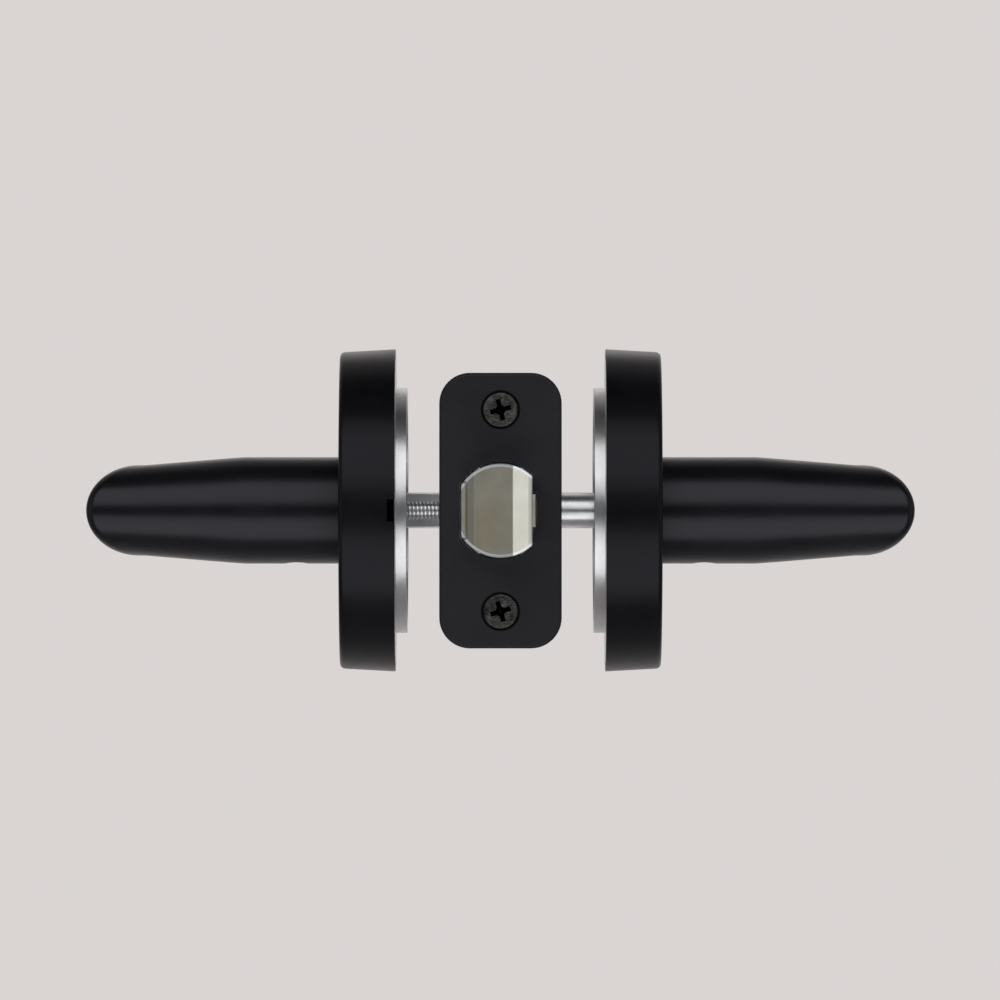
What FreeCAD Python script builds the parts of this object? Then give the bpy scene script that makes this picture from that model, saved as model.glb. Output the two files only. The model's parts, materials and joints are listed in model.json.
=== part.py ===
import FreeCAD
import Part
import Sketcher
import os
import re
from math import atan2, cos, pi, radians, sin, tan

# A tubular passage lever set for a hinged door, in millimetres.
# +X runs along the spindle to the exterior, +Y from the door's latch edge into the door and
# +Z up. The origin is where the spindle's axis meets the middle of the door's thickness.
# The latch lies along Y, and one trim lies on each face of the door. Distances called "out"
# are counted from the door's face outwards along the spindle.

SIZES = {
    # The door
    "door_half": 22.225,            # half of a 1 3/4 inch door
    "backset": 60.325,              # 2 3/8 inch, spindle axis to the faceplate's front
    # Latch faceplate and the plate behind it
    "face_width": 25.4,
    "face_height": 57.15,
    "face_corner": 6.35,
    "plate_thick": 1.6,             # of each of the two plates
    "back_inset": 0.4,              # the rear plate is this much smaller all round
    "screw_spread": 20.9,           # wood screws, from the middle of the plate
    "csk_radius": 4.15,
    "screw_hole_radius": 2.3,
    "seat_depth": 0.1,              # ring in the rear plate that centres the barrel
    "seat_gap": 0.05,
    # Wood screws
    "wood_head_radius": 3.7,        # so the head sits a little below the plate's front
    "wood_neck_radius": 1.75,
    "wood_thread_radius": 2.05,
    "wood_thread_start": 3.7,       # behind the plate's front
    "wood_point": 4.0,
    "wood_screw_length": 19.0,
    "recess_reach": 2.1,
    "recess_half": 0.45,
    "recess_depth": 1.2,
    # Bolt: a round bar with two flats and a guide key
    "bolt_radius": 9.75,
    "bolt_left": 8.1,               # flat on the bevelled side
    "bolt_right": 6.6,              # flat on the straight side
    "key_reach": 7.25,
    "key_half": 3.4,
    "bolt_gap": 0.38,               # round the bolt, in the faceplate
    "guide_gap": 0.15,              # round the bolt, in its guide
    "throw": 12.0,
    "bolt_length": 20.0,
    "bevel_top": 2.55,              # where the bevel starts on the tip
    "bevel_foot": 5.5,              # where it ends, on the other side of the axis
    "bevel_drop": 7.3,
    "tip_edge": 1.0,
    "ledge": 7.0,
    "ledge_drop": 10.7,
    "bolt_bore": 3.7,               # blind hole for the bolt spring
    "bolt_bore_depth": 11.7,
    # Bolt tail
    "web_thick": 2.0,
    "web_half_width": 5.0,
    "web_half_height": 6.8,
    "prong_half": 1.2,
    "prong_low": 4.0,
    "prong_high": 6.6,
    "hook_half": 2.6,
    "hook_front": -37.8,
    "hook_rear": -36.0,
    # Bolt spring and the pin inside it
    "spring_mean": 2.9,
    "spring_wire": 0.4,             # radius
    "spring_slack": 0.1,
    "spring_turns": 8.0,
    "pin_radius": 1.9,
    "pin_length": 11.4,
    "pin_nose": 0.8,
    # Latch barrel and case
    "barrel_radius": 12.1,
    "barrel_wall": 0.8,
    "barrel_end": -25.0,
    "guide_length": 7.0,
    "case_inner": 5.5,
    "case_wall": 1.0,
    "case_half_height": 10.0,
    "case_rear": 24.5,
    "rivet_radius": 1.6,
    "rivet_step": 0.8,
    "rivet_back": 21.9,
    "rivet_spread": 6.6,
    # Retractor
    "fork_front": -40.0,
    "fork_base": 2.0,
    "fork_rear": -4.6,
    "leg_in": 6.9,
    "leg_out": 10.3,
    "leg_top": 11.8,
    "leg_rise": -21.0,
    "leg_shoulder": -18.0,
    "cheek_in": 1.8,
    "cheek_out": 4.3,
    "lug_line": -4.66,              # the lug's front face is y + lug_slope * z = lug_line
    "lug_slope": 0.4355,
    # Spindle and its hub
    "spindle_side": 7.5,
    "spindle_half_length": 47.0,
    "square_gap": 0.05,
    "hub_radius": 6.42,
    "hub_half_length": 6.6,
    "hub_hole": 6.5,
    "arm_half_width": 1.5,
    "arm_lean": 53.5,               # degrees, forwards of upright with the lever at rest
    "arm_reach": 11.0,
    "arm_tip": 1.0,
    "arm_back": -0.2,
    "arm_front": -3.2,
    "arm_cut_width": 1.0,
    "arm_cut_height": 3.0,
    # Mounting plates, posts and their screws
    "seat_radius": 32.4,
    "seat_thick": 2.0,
    "ring_radius": 26.0,
    "ring_wall": 1.5,
    "ring_depth": 2.5,
    "post_offset": 17.5,
    "post_radius": 3.4,
    "post_hole": 3.6,
    "post_neck": 2.8,
    "post_gap": 0.05,
    "post_end": -12.0,
    "post_bore": 2.1,
    "post_bore_end": 3.0,
    "rivet_head": 3.5,
    "rivet_head_thick": 0.8,
    "machine_radius": 2.05,
    "machine_head": 4.0,
    "machine_head_thick": 2.2,
    "machine_chamfer_wide": 1.0,
    "machine_chamfer_deep": 0.8,
    "machine_end": 0.0,
    # Spring cassettes
    "cup_outer": 13.0,
    "cup_wall": 1.0,
    "cup_height": 9.0,
    "cup_cap": 0.8,
    "cup_hole": 9.3,
    "coil_mean": 10.75,
    "coil_wire": 0.45,              # radius
    "coil_start": 3.0,
    "coil_pitch": 1.0,
    "coil_turns": 3.75,
    "coil_leg_end": 8.0,
    "coil_leg_foot": 0.6,
    "leg_hole": 0.6,
    # Drive sleeves and retaining rings
    "sleeve_radius": 9.0,
    "sleeve_hole": 9.08,
    "sleeve_inner_end": -2.0,
    "sleeve_outer_end": 27.6,
    "groove_radius": 8.3,
    "groove_near": -1.3,
    "groove_far": -0.4,
    "clip_outer": 11.0,
    "clip_gap": 0.05,
    "clip_gap_half": 5.0,
    "tab_low": 7.3,
    "tab_width": 3.2,
    "tab_top": 11.2,
    "tab_foot": 7.6,
    "tab_gap": 0.15,                # between the tab and the spring's leg
    # Roses and bushings
    "rose_radius": 34.2,
    "rose_outer_radius": 33.55,
    "rose_height": 11.8,
    "rose_wall": 1.5,
    "rose_round": 1.3,
    "rose_hole": 12.6,
    "pry_depth": 1.6,
    "pry_half": 2.35,
    "pry_room": 3.5,
    "bush_inner": 11.4,
    "bush_outer": 12.55,
    "bush_flange": 13.6,
    "bush_bottom": 9.4,
    "bush_step": 10.25,
    "bush_top": 11.5,
    # Levers
    "shank_radius": 11.3,
    "shank_start": 9.4,
    "shank_bore": 9.05,
    "shank_bore_end": 28.0,
    "shank_straight": 31.8,         # out, where the shank starts to slim
    "elbow_out": 54.42,             # out, where the shank and arm centre lines meet
    "elbow_half_height": 9.6,
    "elbow_half_width": 11.0,
    "elbow_round": 2.0,
    "elbow_lead": 12.5,             # length over which sections tilt towards the mitre
    "tip_half_height": 6.8,
    "tip_half_thick": 6.9,
    "lever_length": 112.0,
    "lever_bow": 3.0,               # how far the tip leans back towards the door
    "tip_round": 6.0,
    "set_screw_out": 21.0,
    "set_screw_radius": 2.4,
    "set_screw_hole": 2.45,
    "set_screw_low": -10.9,
    "set_screw_high": -8.05,
    "set_screw_gap": 0.05,
    "set_screw_key": 1.0,           # half of its key's width
    "set_screw_key_depth": 1.5,
}

FACING = {"X": "YZ_Plane", "Y": "XZ_Plane", "Z": "XY_Plane"}   # plane across each axis
BESIDE = {"X": "XY_Plane", "Y": "YZ_Plane"}                    # plane that holds each axis

doc = FreeCAD.newDocument("lever_set")
sheet = doc.addObject("Spreadsheet::Sheet", "Sizes")
for row, (name, size) in enumerate(SIZES.items(), start=1):
    sheet.set(f"A{row}", name)
    sheet.set(f"B{row}", str(size))
    sheet.setAlias(f"B{row}", name)
doc.recompute()

pieces = {}


# ---- Sizes in expressions ------------------------------------------------------------------

def bound(words):
    """The expression with each size's name pointing at its cell."""
    return re.sub(r"[a-z]\w*", lambda m: f"Sizes.{m[0]}" if m[0] in SIZES else m[0], str(words))


def value(words):
    """What the expression comes to, as a plain number."""
    return float(sheet.evalExpression(bound(words)))


def out(side, words):
    """The x of a place that is so far out from the door's face on one side."""
    return f"{side} * (door_half + {words})"


def reach(side, near, far):
    """The two ends along X, the lower first, of a stretch on one side of the door."""
    ends = (out(side, near), out(side, far))
    return ends if side > 0 else ends[::-1]


# ---- Sketches ------------------------------------------------------------------------------

def new_body(label):
    body = doc.addObject("PartDesign::Body", label)
    body.Label = label
    body.AllowCompound = True
    pieces[label] = body
    return body


def new_sketch(body, role, across="0", up="0", out_of="0", turn=None):
    sketch = body.newObject("Sketcher::SketchObject", "Outline")
    plane = next(item for item in body.Origin.OriginFeatures if item.Role == role)
    sketch.AttachmentSupport = [(plane, "")]
    sketch.MapMode = "FlatFace"
    if turn:
        around = FreeCAD.Rotation(FreeCAD.Vector(0, 0, 1), value(turn))
        sketch.AttachmentOffset = FreeCAD.Placement(FreeCAD.Vector(), around)
        sketch.setExpression("AttachmentOffset.Rotation.Angle", bound(turn))
    for letter, words in zip("xyz", (across, up, out_of)):
        if words != "0":
            sketch.setExpression(f"AttachmentOffset.Base.{letter}", bound(words))
    return sketch


def fix(sketch, kind, words, *places):
    """Add one constraint whose size follows the sheet."""
    index = sketch.addConstraint(Sketcher.Constraint(kind, *places, value(words)))
    sketch.setExpression(f"Constraints[{index}]", bound(words))


def fix_point(sketch, line, end, across, up):
    fix(sketch, "DistanceX", across, -1, 1, line, end)
    fix(sketch, "DistanceY", up, -1, 1, line, end)


def circle(across, up, radius):
    def draw(sketch):
        middle = FreeCAD.Vector(value(across), value(up), 0)
        ring = Part.Circle(middle, FreeCAD.Vector(0, 0, 1), value(radius))
        index = sketch.addGeometry(ring, False)
        fix_point(sketch, index, 3, across, up)
        fix(sketch, "Radius", radius, index)
    return draw


def outline(*corners):
    def draw(sketch):
        spots = [FreeCAD.Vector(value(across), value(up), 0) for across, up in corners]
        lines = [Part.LineSegment(a, b) for a, b in zip(spots, spots[1:] + spots[:1])]
        first = sketch.addGeometry(lines, False)[0]
        for number, (across, up) in enumerate(corners):
            after = (number + 1) % len(corners)
            ends = (first + number, 2, first + after, 1)
            sketch.addConstraint(Sketcher.Constraint("Coincident", *ends))
            fix_point(sketch, first + number, 1, across, up)
    return draw


def rectangle(left, right, low, high):
    return outline((left, low), (right, low), (right, high), (left, high))


def bolt_section(gap):
    """The bolt's outline, or a hole with a gap round it: two arcs, two flats and the key."""
    radius = f"(bolt_radius + {gap})"
    left = f"-(bolt_left + {gap})"
    right = f"(bolt_right + {gap})"
    key = f"(key_reach + {gap})"
    half = f"(key_half + {gap})"

    def draw(sketch):
        size = value(radius)
        high_left = (size ** 2 - value(left) ** 2) ** 0.5
        high_right = (size ** 2 - value(right) ** 2) ** 0.5
        turn_left = atan2(high_left, value(left))
        turn_right = atan2(high_right, value(right))
        ring = Part.Circle(FreeCAD.Vector(), FreeCAD.Vector(0, 0, 1), size)
        spots = [(value(left), high_left), (value(left), -high_left),
                 (value(right), -high_right), (value(right), -value(half)),
                 (value(key), -value(half)), (value(key), value(half)),
                 (value(right), value(half)), (value(right), high_right)]
        spots = [FreeCAD.Vector(across, up, 0) for across, up in spots]
        loop = [Part.ArcOfCircle(ring, turn_right, turn_left),
                Part.LineSegment(spots[0], spots[1]),
                Part.ArcOfCircle(ring, 2 * pi - turn_left, 2 * pi - turn_right)]
        loop += [Part.LineSegment(a, b) for a, b in zip(spots[2:], spots[3:])]
        first = sketch.addGeometry(loop, False)[0]
        for index in range(len(loop)):
            ends = (first + index, 2, first + (index + 1) % len(loop), 1)
            sketch.addConstraint(Sketcher.Constraint("Coincident", *ends))
        for arc in (first, first + 2):
            sketch.addConstraint(Sketcher.Constraint("Coincident", arc, 3, -1, 1))
            fix(sketch, "Radius", radius, arc)
        for line in (1, 3, 5, 7):
            sketch.addConstraint(Sketcher.Constraint("Vertical", first + line))
        for line, reached in ((1, left), (3, right), (5, key), (7, right)):
            fix(sketch, "DistanceX", reached, -1, 1, first + line, 1)
        for line, end, height in ((3, 2, f"-{half}"), (5, 1, f"-{half}"),
                                  (5, 2, half), (7, 1, half)):
            fix(sketch, "DistanceY", height, -1, 1, first + line, end)
    return draw


# ---- Features ------------------------------------------------------------------------------

def add_feature(body, kind, sketch, shapes, **settings):
    for draw in shapes:
        draw(sketch)
    feature = body.newObject(f"PartDesign::{kind}", kind)
    feature.Profile = sketch
    for name, setting in settings.items():
        setattr(feature, name, setting)
    return feature


def pad(body, axis, start, end, *shapes, turn=None):
    """Add material between two places along an axis."""
    level = f"-({start})" if axis == "Y" else start
    sketch = new_sketch(body, FACING[axis], out_of=level, turn=turn)
    feature = add_feature(body, "Pad", sketch, shapes, Reversed=axis == "Y")
    feature.setExpression("Length", bound(f"({end}) - ({start})"))
    return feature


def check_cut(body, before):
    doc.recompute()
    if body.Shape.Volume > before - 1e-6:
        raise RuntimeError(f"{body.Label}: a cut took nothing away")


def pocket(body, axis, start, end, *shapes):
    """Take material away between two places along an axis."""
    doc.recompute()
    before = body.Shape.Volume
    level = f"-({start})" if axis == "Y" else end
    sketch = new_sketch(body, FACING[axis], out_of=level)
    feature = add_feature(body, "Pocket", sketch, shapes)
    feature.setExpression("Length", bound(f"({end}) - ({start})"))
    check_cut(body, before)
    return feature


def turned(body, axis, *corners, kind="Revolution", offset="0"):
    """Turn a profile of (along, radius) corners about an axis, moved sideways by offset."""
    sketch = new_sketch(body, BESIDE[axis], up=offset)
    return add_feature(body, kind, sketch, [outline(*corners)],
                       ReferenceAxis=(sketch, ["H_Axis"]))


def turned_cut(body, axis, *corners, offset="0"):
    doc.recompute()
    before = body.Shape.Volume
    turned(body, axis, *corners, kind="Groove", offset=offset)
    check_cut(body, before)


def coil(body, axis, start, radius, wire, pitch, turns, **settings):
    sketch = new_sketch(body, BESIDE[axis])
    feature = add_feature(body, "AdditiveHelix", sketch, [circle(start, radius, wire)],
                          ReferenceAxis=(sketch, ["H_Axis"]), Mode=1, **settings)
    feature.setExpression("Pitch", bound(pitch))
    feature.setExpression("Turns", bound(turns))
    return feature


def round_edges(body, radius, wanted):
    """Round every edge that the test wants."""
    doc.recompute()
    base = body.Tip
    names = [f"Edge{n}" for n, edge in enumerate(base.Shape.Edges, start=1) if wanted(edge)]
    feature = body.newObject("PartDesign::Fillet", "Round")
    feature.Base = (base, names)
    feature.setExpression("Radius", bound(radius))
    return feature


def runs_along(edge, axis):
    """Whether an edge is a straight line along the axis."""
    spots = [vertex.Point for vertex in edge.Vertexes]
    if len(spots) != 2 or not isinstance(edge.Curve, Part.Line):
        return False
    gap = spots[1] - spots[0]
    return abs(abs(getattr(gap, axis.lower())) - gap.Length) < 1e-6


# ---- Latch ---------------------------------------------------------------------------------

FRONT = "-backset"
MIDDLE = "plate_thick - backset"
REAR = "2 * plate_thick - backset"
SEAT = "2 * plate_thick - backset - seat_depth"
TIP = "-backset - throw"
BOLT_BACK = "bolt_length - throw - backset"
CSK_SLOPE = 0.869                                  # tangent of half of 82 degrees


def screw_holes(body, start, end, wide, narrow):
    """The two countersunk holes of a latch plate."""
    for end_sign in (1, -1):
        turned_cut(body, "Y", (start, "0"), (start, wide), (end, narrow), (end, "0"),
                   offset=f"{end_sign} * screw_spread")


def latch_faceplate():
    body = new_body("latch_faceplate")
    pad(body, "Y", FRONT, MIDDLE, rectangle("-face_width / 2", "face_width / 2",
                                            "-face_height / 2", "face_height / 2"))
    round_edges(body, "face_corner", lambda edge: runs_along(edge, "Y"))
    pocket(body, "Y", FRONT, MIDDLE, bolt_section("bolt_gap"))
    narrow = f"csk_radius - {CSK_SLOPE} * plate_thick"
    screw_holes(body, FRONT, MIDDLE, "csk_radius", narrow)


def latch_backplate():
    body = new_body("latch_backplate")
    half_width = "(face_width / 2 - back_inset)"
    half_height = "(face_height / 2 - back_inset)"
    pad(body, "Y", MIDDLE, REAR, rectangle(f"-{half_width}", half_width,
                                           f"-{half_height}", half_height))
    round_edges(body, "face_corner - back_inset", lambda edge: runs_along(edge, "Y"))
    pocket(body, "Y", MIDDLE, REAR, bolt_section("bolt_gap"))
    pocket(body, "Y", SEAT, REAR, circle("0", "0", "barrel_radius + seat_gap"))
    wide = f"csk_radius - {CSK_SLOPE} * plate_thick"
    screw_holes(body, MIDDLE, REAR, wide, "screw_hole_radius")


def latch_barrel():
    body = new_body("latch_barrel")
    pad(body, "Y", SEAT, "barrel_end", circle("0", "0", "barrel_radius"),
        circle("0", "0", "barrel_radius - barrel_wall"))


def bolt_guide():
    body = new_body("bolt_guide")
    pad(body, "Y", SEAT, f"{REAR} + guide_length",
        circle("0", "0", "barrel_radius - barrel_wall"), bolt_section("guide_gap"))


def latch_bolt():
    body = new_body("latch_bolt")
    pad(body, "Y", TIP, BOLT_BACK, bolt_section("0"))
    clear = "2 * bolt_radius"
    foot = f"{TIP} + bevel_drop"
    ledge = f"{TIP} + ledge_drop"
    pocket(body, "Z", f"-{clear}", clear, outline(
        ("bevel_top", f"{TIP} - 1"), ("bevel_top", TIP), ("-bevel_foot", foot),
        ("-ledge", ledge), (f"-{clear}", f"{ledge} + 0.2"), (f"-{clear}", f"{TIP} - 1")))
    pocket(body, "Z", f"-{clear}", clear, outline(
        ("bolt_right - tip_edge", f"{TIP} - 1"), ("bolt_right - tip_edge", TIP),
        ("bolt_right - 0.3 * tip_edge", f"{TIP} + 0.3 * tip_edge"),
        ("bolt_right", f"{TIP} + tip_edge"), (clear, f"{TIP} + tip_edge"),
        (clear, f"{TIP} - 1")))
    pocket(body, "Y", f"{BOLT_BACK} - web_thick", BOLT_BACK, rectangle(
        "-web_half_width", "web_half_width", "-web_half_height", "web_half_height"))
    pocket(body, "Y", f"{BOLT_BACK} - bolt_bore_depth", BOLT_BACK,
           circle("0", "0", "bolt_bore"))


def bolt_tail():
    """A stamped strap let into the bolt's back, with two hooked prongs."""
    body = new_body("bolt_tail")
    pad(body, "Y", f"{BOLT_BACK} - web_thick", BOLT_BACK,
        rectangle("-web_half_width", "web_half_width", "-web_half_height", "web_half_height"),
        circle("0", "0", "bolt_bore"))
    for end_sign in (1, -1):
        ends = sorted((f"{end_sign} * prong_low", f"{end_sign} * prong_high"), key=value)
        pad(body, "Y", BOLT_BACK, "hook_rear", rectangle("-prong_half", "prong_half", *ends))
        pad(body, "Y", "hook_front", "hook_rear", rectangle("-hook_half", "hook_half", *ends))


def bolt_spring():
    """From the bottom of the bolt's bore to the fork's base."""
    body = new_body("bolt_spring")
    start = f"({BOLT_BACK} - bolt_bore_depth + spring_slack + spring_wire)"
    end = "(fork_front - spring_slack - spring_wire)"
    coil(body, "Y", start, "spring_mean", "spring_wire", f"({end} - {start}) / spring_turns",
         "spring_turns")


def spring_guide_pin():
    body = new_body("spring_guide_pin")
    turned(body, "Y", ("fork_front", "0"), ("fork_front", "pin_radius"),
           ("fork_front - pin_length + pin_nose", "pin_radius"),
           ("fork_front - pin_length", "pin_radius - pin_nose"),
           ("fork_front - pin_length", "0"))


def retractor_fork():
    """Two cheeks, one each side of the hub's arms, with a base in front and a lug behind."""
    body = new_body("retractor_fork")
    inside = "fork_front + fork_base"
    side_view = [("fork_front", "-leg_out"), ("leg_rise", "-leg_out"),
                 ("leg_shoulder", "-leg_top"), ("fork_rear", "-leg_top"),
                 ("fork_rear", "-leg_in"), (inside, "-leg_in")]
    side_view += [(along, up[1:]) for along, up in reversed(side_view)]
    pad(body, "X", "cheek_in", "cheek_out", outline(*side_view))
    pad(body, "X", "-cheek_out", "-cheek_in", outline(*side_view))
    pad(body, "X", "-cheek_in", "cheek_in",
        rectangle("fork_front", inside, "-leg_out", "leg_out"))
    for end_sign in (1, -1):
        pad(body, "X", "-cheek_in", "cheek_in", outline(
            ("lug_line - lug_slope * leg_in", f"{end_sign} * leg_in"),
            ("lug_line - lug_slope * leg_top", f"{end_sign} * leg_top"),
            ("fork_rear", f"{end_sign} * leg_top"), ("fork_rear", f"{end_sign} * leg_in")))
        ends = sorted((f"{end_sign} * (prong_low - guide_gap)",
                       f"{end_sign} * (prong_high + guide_gap)"), key=value)
        pocket(body, "Y", "fork_front", inside, rectangle(
            "-prong_half - guide_gap", "prong_half + guide_gap", *ends))


def latch_case(side, label):
    """One cheek of the case, with the flange that closes on the barrel's rear rim."""
    body = new_body(label)
    flange_end = "barrel_end + case_wall"
    pad(body, "Y", "barrel_end", flange_end, circle("0", "0", "barrel_radius"))
    cleared = sorted((f"{side} * case_inner", f"-{side} * 2 * barrel_radius"), key=value)
    pocket(body, "Y", "barrel_end", flange_end, rectangle(
        *cleared, "-2 * barrel_radius", "2 * barrel_radius"))
    ends = sorted((f"{side} * case_inner", f"{side} * (case_inner + case_wall)"), key=value)
    pad(body, "X", *ends, rectangle("barrel_end", "case_rear", "-case_half_height",
                                    "case_half_height"))
    pocket(body, "X", *ends, circle("0", "0", "hub_hole"),
           circle("post_offset", "0", "post_hole"), circle("-post_offset", "0", "post_hole"),
           circle("rivet_back", "rivet_spread", "rivet_radius"),
           circle("rivet_back", "-rivet_spread", "rivet_radius"))


def case_rivets():
    body = new_body("case_rivets")
    width = "case_inner + case_wall"
    for end_sign in (1, -1):
        height = f"{end_sign} * rivet_spread"
        pad(body, "X", f"-({width})", width, circle("rivet_back", height, "rivet_radius"))
        pad(body, "X", "-case_inner", "case_inner",
            circle("rivet_back", height, "rivet_radius + rivet_step"))


def faceplate_screws():
    """Two countersunk wood screws, each with a crossed recess."""
    body = new_body("faceplate_screws")
    top = f"{FRONT} + (csk_radius - wood_head_radius) / {CSK_SLOPE}"
    cone = "csk_radius - seat_gap - wood_neck_radius"
    neck = f"{FRONT} + ({cone}) / {CSK_SLOPE}"
    thread = f"{FRONT} + wood_thread_start"
    end = f"{FRONT} + wood_screw_length"
    for end_sign in (1, -1):
        turned(body, "Y", (top, "0"), (top, "wood_head_radius - seat_gap"),
               (neck, "wood_neck_radius"), (thread, "wood_neck_radius"),
               (thread, "wood_thread_radius"), (f"{end} - wood_point", "wood_thread_radius"),
               (end, "0"), offset=f"{end_sign} * screw_spread")
    for end_sign in (1, -1):
        middle = f"{end_sign} * screw_spread"
        for across, up in (("recess_reach", "recess_half"), ("recess_half", "recess_reach")):
            pocket(body, "Y", top, f"{top} + recess_depth", rectangle(
                f"-{across}", across, f"{middle} - {up}", f"{middle} + {up}"))


# ---- Spindle -------------------------------------------------------------------------------

def square(gap="0"):
    half = f"(spindle_side / 2 + {gap})"
    return rectangle(f"-{half}", half, f"-{half}", half)


def spindle():
    body = new_body("spindle")
    pad(body, "X", "-spindle_half_length", "spindle_half_length", square())


def spindle_hub():
    """The hub in the latch case: a round boss with an arm above and one below."""
    body = new_body("spindle_hub")
    pad(body, "X", "-hub_half_length", "hub_half_length",
        circle("0", "0", "hub_radius"))
    for end_sign, turn in ((1, "arm_lean"), (-1, "180 - arm_lean")):
        pad(body, "X", "-arm_half_width", "arm_half_width", outline(
            (f"{end_sign} * arm_front", "0"), (f"{end_sign} * arm_back", "0"),
            (f"{end_sign} * arm_back", "arm_reach"),
            (f"{end_sign} * (arm_back - arm_cut_width)", "arm_reach"),
            (f"{end_sign} * arm_front", "arm_reach - arm_cut_height")), turn=turn)
        pad(body, "X", "-arm_half_width", "arm_half_width",
            circle("0", "arm_reach", "arm_tip"), turn=turn)
    pocket(body, "X", "-hub_half_length", "hub_half_length", square("square_gap"))


# ---- Trim on one face of the door ----------------------------------------------------------

def rose(side, name):
    body = new_body(f"{name}_rose")
    inner = "rose_height - rose_wall"
    turned(body, "X", (out(side, "0"), "rose_radius - rose_wall"),
           (out(side, "0"), "rose_radius"), (out(side, "rose_height"), "rose_outer_radius"),
           (out(side, "rose_height"), "rose_hole"), (out(side, inner), "rose_hole"),
           (out(side, inner), "rose_outer_radius - rose_wall"))
    rim = value(out(side, "rose_height"))
    round_edges(body, "rose_round", lambda edge: isinstance(edge.Curve, Part.Circle)
                and abs(edge.CenterOfMass.x - rim) < 1e-6
                and edge.Curve.Radius > value("rose_outer_radius") - 1e-6)
    if name == "interior":
        pocket(body, "Y", "-rose_radius", "-rose_radius + 2 * rose_wall", rectangle(
            *reach(side, "0", "pry_depth"), "-pry_half", "pry_half"))


def mounting_plate(side, name):
    """A disc on the door's face, with a ring that centres it in the cross bore.

    The interior one's rim is cut away behind the rose's notch, so that a tool can reach in.
    """
    body = new_body(f"{name}_mounting_plate")
    turned(body, "X", (out(side, "seat_thick"), "sleeve_hole"),
           (out(side, "seat_thick"), "seat_radius"), (out(side, "0"), "seat_radius"),
           (out(side, "0"), "ring_radius"), (out(side, "-ring_depth"), "ring_radius"),
           (out(side, "-ring_depth"), "ring_radius - ring_wall"),
           (out(side, "0"), "ring_radius - ring_wall"), (out(side, "0"), "sleeve_hole"))
    hole = "post_neck + post_gap" if name == "exterior" else "screw_hole_radius"
    pocket(body, "X", *reach(side, "0", "seat_thick"), circle("post_offset", "0", hole),
           circle("-post_offset", "0", hole), circle("coil_mean", "0", "leg_hole"))
    if name == "interior":
        pocket(body, "X", *reach(side, "0", "seat_thick"), rectangle(
            "-seat_radius - pry_room", "-seat_radius + pry_room", "-pry_half", "pry_half"))


def spring_cup(side, name):
    body = new_body(f"{name}_spring_cup")
    inner = "cup_height - cup_cap"
    turned(body, "X", (out(side, "seat_thick"), "cup_outer - cup_wall"),
           (out(side, "seat_thick"), "cup_outer"), (out(side, "cup_height"), "cup_outer"),
           (out(side, "cup_height"), "cup_hole"), (out(side, inner), "cup_hole"),
           (out(side, inner), "cup_outer - cup_wall"))


def return_spring(side, name):
    """A torsion spring: one leg in the plate, the other beside the sleeve's tab."""
    body = new_body(f"{name}_return_spring")
    coil(body, "X", out(side, "coil_start"), "coil_mean", "coil_wire", "coil_pitch",
         "coil_turns", Reversed=side < 0, LeftHanded=side > 0)
    pad(body, "X", *reach(side, "coil_leg_foot", "coil_start"),
        circle("coil_mean", "0", "coil_wire"))
    last = "coil_start + coil_pitch * coil_turns"
    pad(body, "X", *reach(side, last, "coil_leg_end"), circle("0", "coil_mean", "coil_wire"))


def drive_sleeve(side, name):
    """A sleeve that turns in the mounting plate and carries the lever."""
    body = new_body(f"{name}_drive_sleeve")
    pad(body, "X", *reach(side, "sleeve_inner_end", "sleeve_outer_end"),
        circle("0", "0", "sleeve_radius"), square("square_gap"))
    tab_edge = "-(coil_wire + tab_gap)"
    pad(body, "X", *reach(side, "tab_low", "coil_leg_end"), rectangle(
        f"{tab_edge} - tab_width", tab_edge, "tab_foot", "tab_top"))
    turned_cut(body, "X", (out(side, "groove_near"), "groove_radius"),
               (out(side, "groove_near"), "sleeve_radius + 1"),
               (out(side, "groove_far"), "sleeve_radius + 1"),
               (out(side, "groove_far"), "groove_radius"))
    pocket(body, "Z", "-sleeve_radius - 1", "set_screw_high + set_screw_gap",
           circle(out(side, "set_screw_out"), "0", "set_screw_hole"))


def retaining_ring(side, name):
    """An open clip in the sleeve's groove, behind the mounting plate."""
    body = new_body(f"{name}_retaining_ring")
    ends = reach(side, "groove_near", "groove_far")
    pad(body, "X", *ends, circle("0", "0", "clip_outer"),
        circle("0", "0", "groove_radius + clip_gap"))
    pocket(body, "X", *ends, rectangle("-clip_gap_half", "clip_gap_half", "-2 * clip_outer",
                                       "0"))


def shank_bushing(side, name):
    body = new_body(f"{name}_shank_bushing")
    turned(body, "X", (out(side, "bush_bottom"), "bush_inner"),
           (out(side, "bush_bottom"), "bush_flange"), (out(side, "bush_step"), "bush_flange"),
           (out(side, "bush_step"), "bush_outer"), (out(side, "bush_top"), "bush_outer"),
           (out(side, "bush_top"), "bush_inner"))


def exterior_posts():
    body = new_body("exterior_posts")
    face = out(1, "0")
    seat = out(1, "seat_thick")
    head = out(1, "seat_thick + rivet_head_thick")
    for end_sign in (1, -1):
        turned(body, "X", ("post_end", "post_bore"), ("post_end", "post_radius"),
               (face, "post_radius"), (face, "post_neck"), (seat, "post_neck"),
               (seat, "rivet_head"), (head, "rivet_head"), (head, "0"),
               ("post_bore_end", "0"), ("post_bore_end", "post_bore"),
               offset=f"{end_sign} * post_offset")


def mounting_screws():
    body = new_body("mounting_screws")
    seat = out(-1, "seat_thick")
    top = out(-1, "seat_thick + machine_head_thick")
    for end_sign in (1, -1):
        turned(body, "X", (top, "0"), (top, "machine_head - machine_chamfer_wide"),
               (f"{top} + machine_chamfer_deep", "machine_head"), (seat, "machine_head"),
               (seat, "machine_radius"), ("machine_end", "machine_radius"),
               ("machine_end", "0"), offset=f"{end_sign} * post_offset")


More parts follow.
